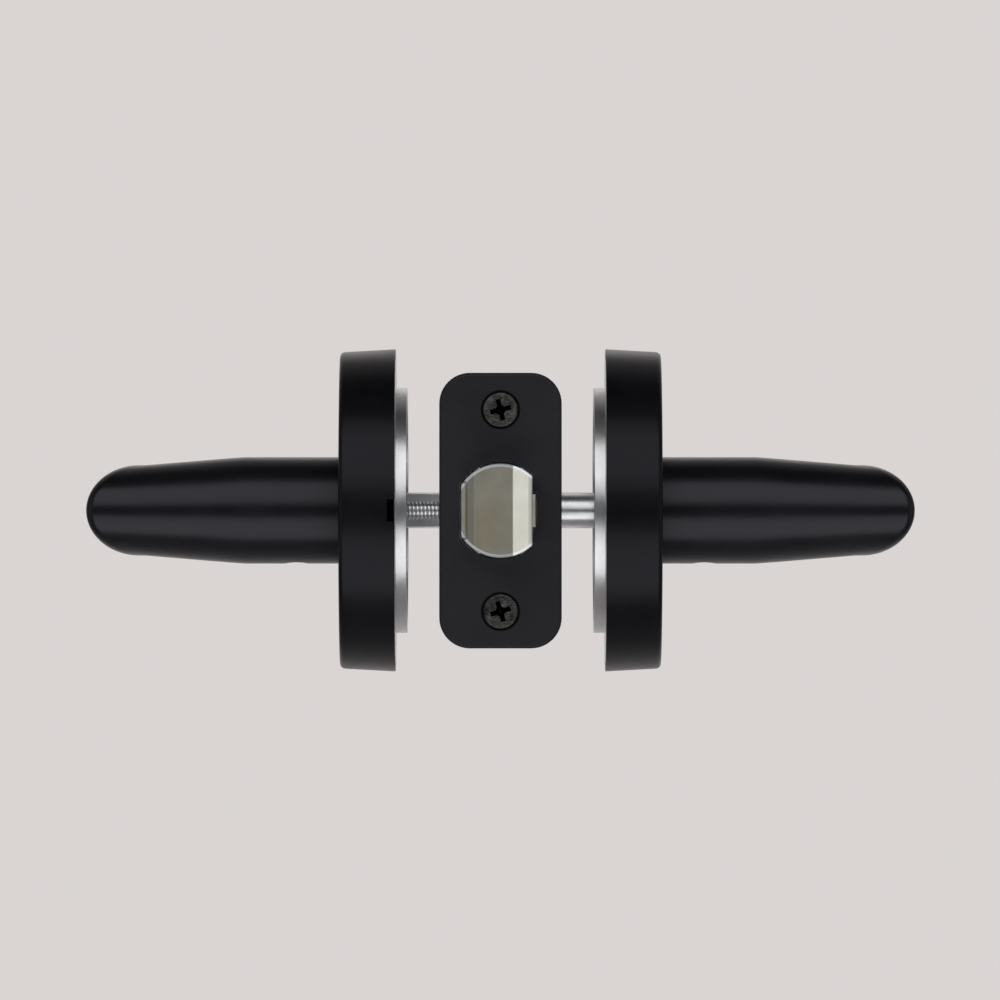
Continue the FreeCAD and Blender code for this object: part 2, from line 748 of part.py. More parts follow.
def lever_set_screws():
    body = new_body("lever_set_screws")
    for side in (1, -1):
        middle = out(side, "set_screw_out")
        pad(body, "Z", "set_screw_low", "set_screw_high",
            circle(middle, "0", "set_screw_radius"))
        pocket(body, "Z", "set_screw_low", "set_screw_low + set_screw_key_depth", rectangle(
            f"{middle} - set_screw_key", f"{middle} + set_screw_key", "-set_screw_key",
            "set_screw_key"))


# ---- Levers --------------------------------------------------------------------------------

def lever_section(side, along, across, turn, half_height, half_width):
    """One upright oval through the lever, in a plane that faces turn degrees from X."""
    oval = doc.addObject("Part::Ellipse", "Section")
    ahead = FreeCAD.Vector(side * cos(radians(turn)), sin(radians(turn)), 0)
    beside = ahead.cross(FreeCAD.Vector(0, 0, 1))
    down = ahead.cross(beside)
    frame = FreeCAD.Matrix(beside.x, down.x, ahead.x, 0, beside.y, down.y, ahead.y, 0,
                           beside.z, down.z, ahead.z, 0, 0, 0, 0, 1)
    oval.Placement = FreeCAD.Placement(frame)
    oval.setExpression("Placement.Base.x", bound(out(side, along)))
    oval.setExpression("Placement.Base.y", bound(across))
    oval.setExpression("MajorRadius", bound(half_width))
    oval.setExpression("MinorRadius", bound(half_height))
    return oval


def blend(first, last, share):
    return f"({first} + ({last} - {first}) * {share:.4f})"


def even_steps(count):
    """Even shares from 0 up to, but not reaching, 1."""
    return [step / count for step in range(count)]


def lever_form(side):
    """The solid lever: a round shank, a mitred elbow, and an arm that slims to its tip."""
    straight = doc.addObject("Part::Cylinder", "LeverShank")
    straight.Placement.Rotation = FreeCAD.Rotation(FreeCAD.Vector(0, 1, 0), 90)
    straight.setExpression("Radius", bound("shank_radius"))
    straight.setExpression("Height", bound("shank_straight - shank_start"))
    near = reach(side, "shank_start", "shank_straight")
    straight.setExpression("Placement.Base.x", bound(near[0]))
    shank = []
    corner = "(elbow_out - elbow_round)"
    slimming = [(blend("shank_straight", f"({corner} - elbow_lead)", share), 0)
                for share in even_steps(2)]
    slimming += [(f"({corner} - elbow_lead * {1 - tan(radians(turn)):.5f})", turn)
                 for turn in (0, 15, 30, 45)]
    for along, turn in slimming:
        fall = f"({along} - shank_straight) / ({corner} - shank_straight)"
        shank.append(lever_section(
            side, along, "0", turn,
            f"shank_radius + (elbow_half_height - shank_radius) * {fall}",
            f"(shank_radius + (elbow_half_width - shank_radius) * {fall})"
            f" / {cos(radians(turn)):.5f}"))
    arm = []
    for turns, half in (((15, 30, 45), shank), ((45, 60, 75, 90), arm)):
        for turn in turns:
            half.append(lever_section(
                side, f"{corner} + elbow_round * {sin(radians(turn)):.5f}",
                f"elbow_round * {1 - cos(radians(turn)):.5f}", 45, "elbow_half_height",
                f"elbow_half_width / {cos(radians(45)):.5f}"))
    for tilt in (30, 15):
        arm.append(lever_section(
            side, "elbow_out", f"elbow_round + elbow_lead * {1 - tan(radians(tilt)):.5f}",
            90 - tilt, "elbow_half_height", f"elbow_half_width / {cos(radians(tilt)):.5f}"))
    for share in even_steps(14):
        arm.append(lever_section(
            side, f"elbow_out - lever_bow * {share ** 2:.4f}",
            blend("(elbow_round + elbow_lead)", "(lever_length - tip_round)", share), 90,
            blend("elbow_half_height", "tip_half_height", share ** 1.3),
            blend("elbow_half_width", "tip_half_thick", share ** 1.3)))
    for turn in (0, 30, 55, 75):
        size = f"{cos(radians(turn)):.4f}"
        arm.append(lever_section(
            side, "elbow_out - lever_bow",
            f"lever_length - tip_round * {1 - sin(radians(turn)):.4f}", 90,
            f"tip_half_height * {size}", f"tip_half_thick * {size}"))
    whole = doc.addObject("Part::MultiFuse", "LeverForm")
    whole.Shapes = [straight, loft(shank), loft(arm)]
    return whole


def loft(sections):
    form = doc.addObject("Part::Loft", "LeverHalf")
    form.Sections = sections
    form.Solid = True
    return form


def lever(side, name):
    bore = doc.addObject("Part::Cylinder", "LeverBore")
    bore.Placement.Rotation = FreeCAD.Rotation(FreeCAD.Vector(0, 1, 0), 90)
    bore.setExpression("Radius", bound("shank_bore"))
    bore.setExpression("Height", bound("shank_bore_end - shank_start + 1"))
    near = reach(side, "shank_start - 1", "shank_bore_end")
    bore.setExpression("Placement.Base.x", bound(near[0]))
    hole = doc.addObject("Part::Cylinder", "SetScrewHole")
    hole.setExpression("Radius", bound("set_screw_hole"))
    hole.setExpression("Height", bound("shank_radius"))
    hole.setExpression("Placement.Base.x", bound(out(side, "set_screw_out")))
    hole.setExpression("Placement.Base.z", bound("-2 * shank_radius + 4"))
    tools = doc.addObject("Part::Fuse", "LeverTools")
    tools.Base = bore
    tools.Tool = hole
    whole = doc.addObject("Part::Cut", f"{name}_lever")
    whole.Base = lever_form(side)
    whole.Tool = tools
    whole.Label = f"{name}_lever"
    pieces[whole.Label] = whole


# ---- The whole set -------------------------------------------------------------------------

latch_faceplate()
latch_backplate()
latch_barrel()
bolt_guide()
latch_bolt()
bolt_tail()
bolt_spring()
spring_guide_pin()
retractor_fork()
latch_case(1, "latch_case_right")
latch_case(-1, "latch_case_left")
case_rivets()
faceplate_screws()
spindle()
spindle_hub()
for side, name in ((1, "exterior"), (-1, "interior")):
    rose(side, name)
    mounting_plate(side, name)
    spring_cup(side, name)
    return_spring(side, name)
    drive_sleeve(side, name)
    retaining_ring(side, name)
    shank_bushing(side, name)
    lever(side, name)
exterior_posts()
mounting_screws()
lever_set_screws()

doc.recompute()
for item in doc.Objects:
    if "Invalid" in item.State or "Error" in item.State:
        raise RuntimeError(f"{item.Label} failed: {item.State}")

os.makedirs("parts", exist_ok=True)
for label, piece in pieces.items():
    if piece.Shape.isNull() or not piece.Shape.isValid():
        raise RuntimeError(f"{label} has no valid shape")
    piece.Shape.exportStep(f"parts/{label}.step")
    print(f"{label}: {len(piece.Shape.Solids)} solid(s), {piece.Shape.Volume:.1f} mm3")
print(f"{len(pieces)} pieces")
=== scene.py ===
import json
from math import atan2, cos, pi, radians, sin, sqrt, tau

import bmesh
import bpy
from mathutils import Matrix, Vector


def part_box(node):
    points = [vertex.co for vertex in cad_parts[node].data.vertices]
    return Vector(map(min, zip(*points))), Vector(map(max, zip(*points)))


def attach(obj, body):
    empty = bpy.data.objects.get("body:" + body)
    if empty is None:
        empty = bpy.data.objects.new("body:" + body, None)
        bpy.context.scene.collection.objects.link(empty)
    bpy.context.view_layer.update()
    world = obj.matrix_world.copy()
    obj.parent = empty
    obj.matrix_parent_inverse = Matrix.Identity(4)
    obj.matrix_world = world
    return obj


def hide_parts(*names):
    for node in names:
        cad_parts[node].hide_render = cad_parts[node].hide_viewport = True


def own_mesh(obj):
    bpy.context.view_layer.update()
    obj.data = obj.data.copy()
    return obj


# A matt black lever set, seen at its latch edge. Distances are in millimetres here and are
# turned into metres when a mesh is made. +X runs along the spindle to the exterior, +Y into
# the door and +Z up, with the origin on the spindle's axis.

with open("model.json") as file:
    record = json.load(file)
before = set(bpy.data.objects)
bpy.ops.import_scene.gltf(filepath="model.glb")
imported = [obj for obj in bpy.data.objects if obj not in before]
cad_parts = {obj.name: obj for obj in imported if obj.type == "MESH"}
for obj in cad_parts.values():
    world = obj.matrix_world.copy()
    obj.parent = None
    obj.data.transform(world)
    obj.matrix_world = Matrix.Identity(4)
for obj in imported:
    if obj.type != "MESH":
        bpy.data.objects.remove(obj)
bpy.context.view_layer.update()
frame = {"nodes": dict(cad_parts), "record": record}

MM = 0.001
SIDES = ((1, "exterior"), (-1, "interior"))


def node_box(node):
    """A CAD node's lowest and highest corners, in millimetres."""
    low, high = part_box(node)
    return Vector(low) / MM, Vector(high) / MM


# ---- Sizes ---------------------------------------------------------------------------------

plate_low, plate_high = node_box("latch_faceplate")
bolt_low, bolt_high = node_box("latch_bolt")
lever_low, lever_high = node_box("exterior_lever")
rose_low, _ = node_box("exterior_rose")
screw_low, screw_high = node_box("faceplate_screws")
spring_low, spring_high = node_box("bolt_spring")

DOOR_HALF = rose_low.x                  # the door's face
FRONT = plate_low.y                     # the faceplate's front
PLATE_THICK = plate_high.y - plate_low.y
PLATE_CORNER = 6.35
SCREW_SPREAD = 20.9
CSK_RADIUS = 4.15
CSK_SUNK = 0.75                         # depth of the straight wall above the cone
CSK_SLOPE = 0.869                       # tangent of half of 82 degrees
HEAD_RADIUS = 3.64
BOLT_RADIUS = bolt_high.z
BOLT_LEFT = -bolt_low.x
BOLT_RIGHT = 6.6
KEY_REACH = bolt_high.x
KEY_HALF = 3.4
BOLT_GAP = 0.38
THROW = FRONT - bolt_low.y
BEVEL_TOP = 2.55
BEVEL_FOOT = 5.5
RIM_WIDTH = 0.75                        # rounding of the bolt's upper and lower rims
RIM_DEPTH = 0.4
POST_OFFSET = 17.5
PAST = 1.0                              # how far a cutter runs past the face it cuts


# ---- Mesh helpers --------------------------------------------------------------------------

def finish_mesh(name, form, body, material, nodes=(), sharp=35):
    """Turn a bmesh in millimetres into a piece that rides on a CAD body."""
    bmesh.ops.remove_doubles(form, verts=form.verts, dist=1e-4)
    bmesh.ops.recalc_face_normals(form, faces=form.faces)
    bmesh.ops.scale(form, vec=(MM, MM, MM), verts=form.verts)
    mesh = bpy.data.meshes.new(name)
    form.to_mesh(mesh)
    form.free()
    mesh.shade_smooth()
    mesh.set_sharp_from_angle(angle=radians(sharp))
    piece = bpy.data.objects.new(name, mesh)
    bpy.context.scene.collection.objects.link(piece)
    mesh.materials.append(material)
    piece.modifiers.new("Shading", "WEIGHTED_NORMAL").keep_sharp = True
    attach(piece, body)
    if nodes:
        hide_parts(*nodes)
    return piece


def rings_to_form(rings, closed_ends=True, closed_loop=False):
    """A tube through rings of points, each with the same count. Its ends are capped."""
    form = bmesh.new()
    rows = [[form.verts.new(point) for point in ring] for ring in rings]
    pairs = list(zip(rows, rows[1:]))
    if closed_loop:
        pairs.append((rows[-1], rows[0]))
    for near, far in pairs:
        for index in range(len(near)):
            after = (index + 1) % len(near)
            form.faces.new((near[index], near[after], far[after], far[index]))
    if closed_ends and not closed_loop:
        form.faces.new(list(reversed(rows[0])))
        form.faces.new(rows[-1])
    return form


def around(axis, along, radius, angle, centre):
    """A point at an angle round a line along X or Y that passes through centre."""
    across, up = radius * cos(angle), radius * sin(angle)
    if axis == "X":
        return Vector((along, centre[1] + across, centre[2] + up))
    return Vector((centre[0] + across, along, centre[2] + up))


def rounded(corners, radii, steps=6):
    """A closed outline whose corners are rounded, each by its own radius."""
    points = []
    count = len(corners)
    for number, (corner, radius) in enumerate(zip(corners, radii)):
        here = Vector(corner)
        before = Vector(corners[number - 1]) - here
        after = Vector(corners[(number + 1) % count]) - here
        if not radius:
            points.append(here)
            continue
        half = before.angle(after) / 2
        reach = min(radius / max(abs(sin(half) / cos(half)), 1e-3), before.length * 0.45,
                    after.length * 0.45)
        start = here + before.normalized() * reach
        end = here + after.normalized() * reach
        for step in range(steps + 1):
            share = step / steps
            points.append(start * (1 - share) ** 2 + here * 2 * share * (1 - share)
                          + end * share ** 2)
    return points


def subdivided(points, longest):
    """The same open line with no gap between its points longer than given."""
    finer = [points[0]]
    for near, far in zip(points, points[1:]):
        near, far = Vector(near), Vector(far)
        count = max(1, int((far - near).length / longest + 0.999))
        finer += [near + (far - near) * step / count for step in range(1, count + 1)]
    return finer


def lathe(axis, outline, centre=(0, 0, 0), segments=128):
    """A solid turned from a closed outline of (along, radius) points."""
    rings = []
    for along, radius in outline:
        rings.append([around(axis, along, max(radius, 0), tau * step / segments, centre)
                      for step in range(segments)])
    return rings_to_form(rings, closed_loop=True)


def object_from(form, name="tool"):
    """A short-lived object for a form, for the boolean modifier to use."""
    mesh = bpy.data.meshes.new(name)
    bmesh.ops.recalc_face_normals(form, faces=form.faces)
    form.to_mesh(mesh)
    form.free()
    made = bpy.data.objects.new(name, mesh)
    bpy.context.scene.collection.objects.link(made)
    return made


def combine(form, tools, operation):
    """Cut tools out of a form, or join them to it, and give the result as a new form."""
    bmesh.ops.remove_doubles(form, verts=form.verts, dist=1e-5)
    target = object_from(form, "target")
    cutters = []
    for tool in tools:
        bmesh.ops.remove_doubles(tool, verts=tool.verts, dist=1e-5)
        cutter = object_from(tool)
        cutters.append(cutter)
        step = target.modifiers.new("Combine", "BOOLEAN")
        step.operation = operation
        step.solver = "EXACT"
        step.object = cutter
    bpy.context.view_layer.update()
    shape = target.evaluated_get(bpy.context.evaluated_depsgraph_get()).to_mesh()
    result = bmesh.new()
    result.from_mesh(shape)
    for used in [target] + cutters:
        bpy.data.objects.remove(used, do_unlink=True)
    bmesh.ops.remove_doubles(result, verts=result.verts, dist=1e-4)
    return result


def prism(axis, outline, start, end):
    """A straight solid along Y or Z, from an outline across it."""
    place = {"Y": lambda a, b, c: (a, c, b), "Z": lambda a, b, c: (a, b, c)}[axis]
    rings = [[Vector(place(a, b, level)) for a, b in outline] for level in (start, end)]
    return rings_to_form(rings)


def tidy(form):
    """Join flat neighbours and drop the specks that cutting leaves."""
    bmesh.ops.remove_doubles(form, verts=form.verts, dist=0.03)
    bmesh.ops.dissolve_limit(form, angle_limit=radians(0.5), verts=form.verts,
                             edges=form.edges)
    form.normal_update()


def soften(form, width, steps, wanted, angle=30):
    """Round the wanted edges where faces meet at more than the angle."""
    edges = [edge for edge in form.edges if len(edge.link_faces) == 2
             and edge.calc_face_angle(0) > radians(angle) and wanted(edge)]
    bmesh.ops.bevel(form, geom=edges, offset=width, offset_type="OFFSET", segments=steps,
                    profile=0.5, affect="EDGES", clamp_overlap=True)
    form.normal_update()


def circle_points(across, up, radius, segments=64):
    """A circle as a closed outline."""
    return [(across + radius * cos(tau * step / segments),
             up + radius * sin(tau * step / segments)) for step in range(segments)]


# ---- Materials -----------------------------------------------------------------------------

class Nodes:
    """A material's node tree, with short ways to add what these finishes share."""

    def __init__(self, name):
        self.material = bpy.data.materials.new(name)
        self.material.use_nodes = True
        self.tree = self.material.node_tree
        self.shader = self.tree.nodes["Principled BSDF"]
        self.place = self.tree.nodes.new("ShaderNodeTexCoord").outputs["Object"]

    def link(self, output, target):
        self.tree.links.new(output, target)

    def stretched(self, scale):
        """Object coordinates multiplied along each axis, for long or short grain."""
        mapping = self.tree.nodes.new("ShaderNodeMapping")
        mapping.inputs["Scale"].default_value = scale
        self.link(self.place, mapping.inputs["Vector"])
        return mapping.outputs["Vector"]

    def noise(self, scale, detail=3.0, roughness=0.55, place=None):
        """Noise over the object's own coordinates, or over stretched ones."""
        node = self.tree.nodes.new("ShaderNodeTexNoise")
        node.inputs["Scale"].default_value = scale
        node.inputs["Detail"].default_value = detail
        node.inputs["Roughness"].default_value = roughness
        self.link(place or self.place, node.inputs["Vector"])
        return node.outputs["Fac"]

    def ramp(self, value, *stops):
        """A colour ramp whose stops are (place, colour) or (place, grey)."""
        node = self.tree.nodes.new("ShaderNodeValToRGB")
        elements = node.color_ramp.elements
        while len(elements) < len(stops):
            elements.new(0.5)
        for element, (place, colour) in zip(elements, stops):
            element.position = place
            rgb = (colour,) * 3 if isinstance(colour, (int, float)) else colour
            element.color = (*rgb, 1)
        self.link(value, node.inputs["Fac"])
        return node.outputs["Color"]

    def mix(self, share, first, second):
        """A share of the way from the first colour to the second."""
        node = self.tree.nodes.new("ShaderNodeMix")
        node.data_type = "RGBA"
        for value, socket in ((share, 0), (first, 6), (second, 7)):
            if isinstance(value, bpy.types.NodeSocket):
                self.link(value, node.inputs[socket])
            elif socket:
                node.inputs[socket].default_value = (*value, 1)
            else:
                node.inputs[socket].default_value = value
        return node.outputs[2]

    def bump(self, height, strength, distance, normal=None):
        """A bump over the plain surface, or over another bump's normal."""
        node = self.tree.nodes.new("ShaderNodeBump")
        node.inputs["Strength"].default_value = strength
        node.inputs["Distance"].default_value = distance
        self.link(height, node.inputs["Height"])
        if normal:
            self.link(normal, node.inputs["Normal"])
        return node.outputs["Normal"]

    def math(self, operation, first, second):
        node = self.tree.nodes.new("ShaderNodeMath")
        node.operation = operation
        self.link(first, node.inputs[0])
        self.link(second, node.inputs[1])
        return node.outputs[0]

    def share(self, value, start, end):
        """From 0 where the value is start to 1 where it is end."""
        node = self.tree.nodes.new("ShaderNodeMapRange")
        node.inputs["From Min"].default_value = start
        node.inputs["From Max"].default_value = end
        self.link(value, node.inputs["Value"])
        return node.outputs["Result"]

    def coordinate(self, axis, start, end):
        """From 0 at one place along an object axis to 1 at another."""
        split = self.tree.nodes.new("ShaderNodeSeparateXYZ")
        self.link(self.place, split.inputs[0])
        return self.share(split.outputs[axis], start, end)

    def from_axis(self, axis, start, end):
        """From 0 at one distance from an object axis to 1 at another."""
        flat = self.tree.nodes.new("ShaderNodeVectorMath")
        flat.operation = "MULTIPLY"
        flat.inputs[1].default_value = [0 if letter == axis else 1 for letter in "XYZ"]
        self.link(self.place, flat.inputs[0])
        length = self.tree.nodes.new("ShaderNodeVectorMath")
        length.operation = "LENGTH"
        self.link(flat.outputs["Vector"], length.inputs[0])
        return self.share(length.outputs["Value"], start, end)

    def set(self, **values):
        """Link or set the shader's sockets, named with _ for each space."""
        for name, value in values.items():
            socket = self.shader.inputs[name.replace("_", " ")]
            if isinstance(value, bpy.types.NodeSocket):
                self.link(value, socket)
            elif isinstance(value, tuple):
                socket.default_value = (*value, 1)
            else:
                socket.default_value = value


def black_paint(name, dark, light, rough_low, rough_high, specular):
    """Matt black powder coat: a fine orange peel with faint cloudy variation."""
    nodes = Nodes(name)
    cloud = nodes.noise(90, detail=4)
    grain = nodes.noise(2600, detail=2)
    peel = nodes.noise(1100, detail=2)
    nodes.set(Base_Color=nodes.ramp(cloud, (0.3, dark), (0.7, light)),
              Roughness=nodes.ramp(nodes.mix(0.3, cloud, grain), (0.3, rough_low),
                                   (0.7, rough_high)),
              Normal=nodes.bump(grain, 0.05, 0.00003, nodes.bump(peel, 0.08, 0.00006)),
              Specular_IOR_Level=specular, Specular_Tint=(0.90, 0.88, 1.0))
    return nodes.material


def metal(name, dark, light, rough_low, rough_high, grain=700, bump=0.05, shade_radius=None):
    """Bare or plated metal with a cloudy tone and fine scratches.

    Given a radius, an interior piece gets painted shade: it is black further than that from the
    X axis, except on its face towards the door.
    """
    nodes = Nodes(name)
    cloud = nodes.noise(160, detail=5, roughness=0.6)
    streaks = nodes.noise(6, detail=4, place=nodes.stretched((400, 400, 30)))
    fine = nodes.noise(grain, detail=3)
    tone = nodes.mix(0.35, cloud, streaks)
    colour = nodes.ramp(tone, (0.32, dark), (0.68, light))
    # painted shade: the plate goes black where it shows through the rose's notch, standing in
    # for the shadow there
    if shade_radius:
        outer = nodes.from_axis("X", shade_radius * MM, (shade_radius + 0.2) * MM)
        inside = nodes.coordinate("X", -(DOOR_HALF + 0.02) * MM, -(DOOR_HALF + 0.12) * MM)
        colour = nodes.mix(nodes.math("MULTIPLY", outer, inside), colour,
                           (0.004, 0.004, 0.004))
    nodes.set(Base_Color=colour, Metallic=1.0,
              Roughness=nodes.ramp(nodes.mix(0.5, streaks, fine), (0.3, rough_low),
                                   (0.7, rough_high)),
              Normal=nodes.bump(fine, bump, 0.00005, nodes.bump(streaks, bump, 0.00004)))
    return nodes.material


def screw_black(recess_at):
    """Blackened steel with rubbed scratches, and painted shade, black, where the recess goes in.
    """
    nodes = Nodes("blackened_steel")
    cloud = nodes.noise(420, detail=5, roughness=0.65)
    streaks = nodes.noise(7, detail=5, place=nodes.stretched((160, 60, 620)))
    rubbed = nodes.ramp(nodes.mix(0.5, cloud, streaks), (0.38, (0.02, 0.02, 0.02)),
                        (0.52, (0.065, 0.065, 0.062)), (0.64, (0.17, 0.17, 0.16)))
    # painted shade: black from just behind the head's face, so the cross recess reads as shadow
    deep = nodes.coordinate("Y", recess_at * MM, (recess_at + 0.12) * MM)
    fine = nodes.noise(2400, detail=3)
    nodes.set(Base_Color=nodes.mix(deep, rubbed, (0.006, 0.006, 0.006)), Metallic=1.0,
              Roughness=nodes.ramp(cloud, (0.3, 0.38), (0.7, 0.55)),
              Normal=nodes.bump(fine, 0.3, 0.00005, nodes.bump(streaks, 0.4, 0.00006)))
    return nodes.material


def bolt_metal():
    """The latch bolt: satin plating over a casting, stained olive and brown in patches, with a
    painted highlight on its rims.
    """
    nodes = Nodes("bolt_plating")
    blotch = nodes.noise(210, detail=4, roughness=0.6)
    patch = nodes.noise(120, detail=3, roughness=0.5, place=nodes.stretched((1, 1, 0.7)))
    streaks = nodes.noise(5, detail=5, place=nodes.stretched((1500, 1500, 60)))
    olive = nodes.ramp(blotch, (0.3, (0.36, 0.36, 0.25)), (0.5, (0.44, 0.43, 0.34)),
                       (0.72, (0.52, 0.50, 0.42)))
    warm = nodes.ramp(patch, (0.42, (0.47, 0.47, 0.41)), (0.62, (0.50, 0.41, 0.31)))
    across = nodes.coordinate("X", (BEVEL_TOP - 0.1) * MM, (BEVEL_TOP + 0.1) * MM)
    tip = nodes.coordinate("Y", (FRONT - THROW + 1.4) * MM, (FRONT - THROW + 0.9) * MM)
    land = nodes.math("MULTIPLY", across, tip)
    bright = nodes.ramp(blotch, (0.3, (0.86, 0.85, 0.74)), (0.7, (0.95, 0.94, 0.86)))
    edge = nodes.coordinate("X", (BOLT_RIGHT - 0.95) * MM, (BOLT_RIGHT - 0.75) * MM)
    bright = nodes.mix(edge, bright, (0.68, 0.68, 0.60))
    colour = nodes.mix(land, nodes.mix(0.5, olive, warm), bright)
    # painted highlight: the upper and lower rims lighten to a bluish white, standing in for the
    # softboxes' reflection
    rim = nodes.from_axis("Y", (BOLT_RADIUS - RIM_WIDTH) * MM,
                          (BOLT_RADIUS - RIM_WIDTH * 0.7) * MM)
    colour = nodes.mix(rim, colour, (0.86, 0.90, 0.92))
    fine = nodes.noise(1300, detail=3)
    satin = nodes.ramp(nodes.mix(0.5, blotch, streaks), (0.3, 0.34), (0.7, 0.46))
    nodes.set(Base_Color=colour, Metallic=1.0,
              Roughness=nodes.mix(land, satin, (0.52, 0.52, 0.52)),
              Normal=nodes.bump(fine, 0.08, 0.00005, nodes.bump(streaks, 0.06, 0.00004)))
    return nodes.material


def nylon():
    """Moulded off-white nylon, faintly translucent."""
    nodes = Nodes("nylon")
    cloud = nodes.noise(120)
    fine = nodes.noise(1500)
    nodes.set(Base_Color=nodes.ramp(cloud, (0.3, (0.70, 0.69, 0.63)), (0.7, (0.78, 0.77, 0.71))),
              Roughness=nodes.ramp(fine, (0.3, 0.42), (0.7, 0.55)),
              Normal=nodes.bump(fine, 0.06, 0.00005), Subsurface_Weight=0.15,
              Subsurface_Scale=0.001)
    return nodes.material


MATT_BLACK = ((0.0028, 0.0028, 0.0040), (0.0048, 0.0048, 0.0064), 0.27, 0.34)
BRIGHT_ZINC = ((0.50, 0.51, 0.53), (0.66, 0.665, 0.67), 0.26, 0.36)
PAINT = black_paint("black_paint", *MATT_BLACK, specular=0.32)
ROSE_PAINT = black_paint("rose_paint", *MATT_BLACK, specular=0.165)
PLATE_PAINT = black_paint("plate_paint", (0.008, 0.008, 0.0095), (0.012, 0.012, 0.014), 0.48,
                          0.58, specular=0.26)
SCREW_BLACK = screw_black(recess_at=screw_low.y + 0.16)
BOLT_METAL = bolt_metal()
ZINC = metal("zinc_plate", *BRIGHT_ZINC, grain=3200, bump=0.03)
# zinc with painted shade: black where it shows through the rose's notch
NOTCH_SHADED_ZINC = metal("notch_shaded_zinc_plate", *BRIGHT_ZINC, grain=3200, bump=0.03, shade_radius=26.5)
CAST = metal("die_cast", (0.36, 0.36, 0.37), (0.47, 0.47, 0.48), 0.42, 0.58, grain=1600,
             bump=0.18)
SPRING = metal("spring_steel", (0.20, 0.20, 0.215), (0.31, 0.31, 0.33), 0.26, 0.38)
NYLON = nylon()
FINISHES = {"black_paint": PAINT, "black_screw": SCREW_BLACK, "bolt_metal": BOLT_METAL,
            "zinc_plate": ZINC, "die_cast": CAST, "spring_steel": SPRING, "nylon": NYLON}


# ---- Levers --------------------------------------------------------------------------------

SHANK_RADIUS = 11.3
SHANK_END = DOOR_HALF + 31.8            # where the shank starts to slim
ELBOW_HEIGHT = 9.6                      # half sizes of the section at the elbow
ELBOW_WIDTH = 11.0
ELBOW_ROUND = 2.0                       # radius of the centre line's turn
ELBOW_LEAD = 12.5                       # length over which sections tilt to the mitre
BORE_RADIUS = 9.05
BORE_END = DOOR_HALF + 28.0
BORE_LIP = 0.5                          # chamfer at the bore's mouth
LEVER_START = lever_low.x
LEVER_OUT = DOOR_HALF + 54.42           # where the shank and arm centre lines meet
LEVER_TIP = lever_high.y
LEVER_BOW = 3.0                         # how far the arm curves back towards the door
TIP_HEIGHT = 6.8                        # half sizes of the section before the tip
TIP_WIDTH = 6.9
TIP_ROUND = 6.0                         # length of the rounded tip
SET_SCREW_OUT = DOOR_HALF + 21.0
SET_SCREW_HOLE = 2.45
SET_SCREW_DEPTH = 4.0


def lever_stations():
    """Where each oval of the lever stands: its place, heading, half height and half width.

    The shank slims towards the elbow, and the arm slims and bows from there to a rounded
    tip. Sections near the elbow tilt gradually to the mitre's 45 degrees and on to the arm's.
    """
    stations = []
    corner = LEVER_OUT - ELBOW_ROUND
    lead = corner - ELBOW_LEAD
    straight, slim, tilts, turns, arm, tip = 14, 10, 12, 16, 40, 20    # counts of sections
    for step in range(straight):
        along = LEVER_START + (SHANK_END - LEVER_START) * step / straight
        stations.append((along, 0, 0, SHANK_RADIUS, SHANK_RADIUS))
    slimming = [(SHANK_END + (lead - SHANK_END) * step / slim, 0) for step in range(slim)]
    slimming += [(corner - ELBOW_LEAD * (1 - step / tilts), atan2(step, tilts))
                 for step in range(tilts)]
    for along, turn in slimming:
        fall = ((along - SHANK_END) / (corner - SHANK_END)) ** 1.1
        stations.append((along, 0, turn, SHANK_RADIUS + (ELBOW_HEIGHT - SHANK_RADIUS) * fall,
                         (SHANK_RADIUS + (ELBOW_WIDTH - SHANK_RADIUS) * fall) / cos(turn)))
    for step in range(turns + 1):
        turn = pi / 2 * step / turns
        stations.append((corner + ELBOW_ROUND * sin(turn), ELBOW_ROUND * (1 - cos(turn)),
                         pi / 4, ELBOW_HEIGHT, ELBOW_WIDTH / cos(pi / 4)))
    for step in range(tilts - 1, 0, -1):
        tilt = atan2(step, tilts)
        stations.append((LEVER_OUT, ELBOW_ROUND + ELBOW_LEAD * (1 - step / tilts),
                         pi / 2 - tilt, ELBOW_HEIGHT, ELBOW_WIDTH / cos(tilt)))
    near, far = ELBOW_ROUND + ELBOW_LEAD, LEVER_TIP - TIP_ROUND
    for step in range(arm):
        share = step / arm
        fall = share ** 1.3
        stations.append((LEVER_OUT - LEVER_BOW * share ** 2, near + (far - near) * share,
                         pi / 2, ELBOW_HEIGHT + (TIP_HEIGHT - ELBOW_HEIGHT) * fall,
                         ELBOW_WIDTH + (TIP_WIDTH - ELBOW_WIDTH) * fall))
    for step in range(tip):
        turn = pi / 2 * step / tip
        stations.append((LEVER_OUT - LEVER_BOW, far + TIP_ROUND * sin(turn), pi / 2,
                         TIP_HEIGHT * cos(turn), TIP_WIDTH * cos(turn)))
    return stations


